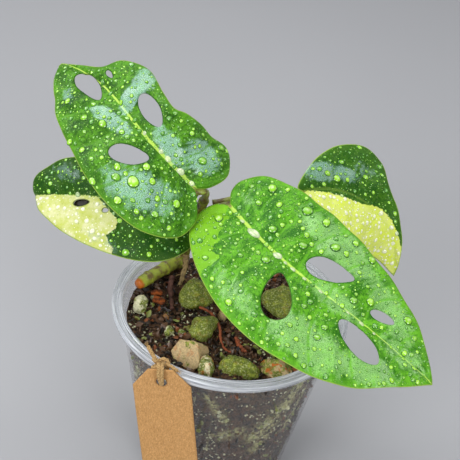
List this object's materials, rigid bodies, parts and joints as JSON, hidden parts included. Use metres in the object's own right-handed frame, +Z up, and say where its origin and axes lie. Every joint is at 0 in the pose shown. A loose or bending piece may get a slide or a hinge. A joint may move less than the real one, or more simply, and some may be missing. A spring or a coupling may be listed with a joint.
{
  "type": "potted variegated swiss cheese vine",
  "caption": "Young climbing aroid with broad pierced leaves, part green and part cream, in a clear tapered nursery pot of bark and stones, with a blank card tag tied to the rim.",
  "frame": {"origin": "centre of the pot's flat base, on the surface it stands on", "axes": "+Z up, the front with the tag and the largest leaf faces -Y, +X to the right"},
  "size_m": [0.1549, 0.118, 0.1576],
  "materials": {
    "clear_plastic": "clear, lightly clouded polypropylene",
    "potting_mix": "damp dark bark and fines",
    "vine_stem": "smooth green, satin",
    "leaf_blade": "glossy green with cream variegation",
    "petiole": "pale green, satin",
    "root": "dry brown, matte",
    "pale_pumice": "rough, matte",
    "mossy_stone": "rough, green with algae",
    "tan_stone": "rough, matte",
    "bark": "rough red-brown",
    "kraft_card": "matte kraft",
    "jute_twine": "hairy twisted jute"
  },
  "bodies": {
    "root": {"pot": "clear_plastic", "potting_mix": "potting_mix", "vine_stem": "vine_stem", "leaf_1": "leaf_blade", "leaf_2": "leaf_blade", "leaf_3": "leaf_blade", "leaf_4": "leaf_blade", "petiole_1": "petiole", "petiole_2": "petiole", "petiole_3": "petiole", "petiole_4": "petiole", "root_1": "root", "root_2": "root", "root_3": "root", "root_4": "root", "stone_1": "pale_pumice", "stone_2": "mossy_stone", "stone_3": "mossy_stone", "stone_4": "tan_stone", "stone_5": "mossy_stone", "stone_6": "mossy_stone", "stone_7": "tan_stone", "stone_8": "tan_stone", "stone_9": "mossy_stone", "stone_10": "mossy_stone", "stone_11": "mossy_stone", "bark_chip_1": "bark", "bark_chip_2": "bark", "tag": "kraft_card", "tag_twine": "jute_twine"}
  },
  "joints": []
}
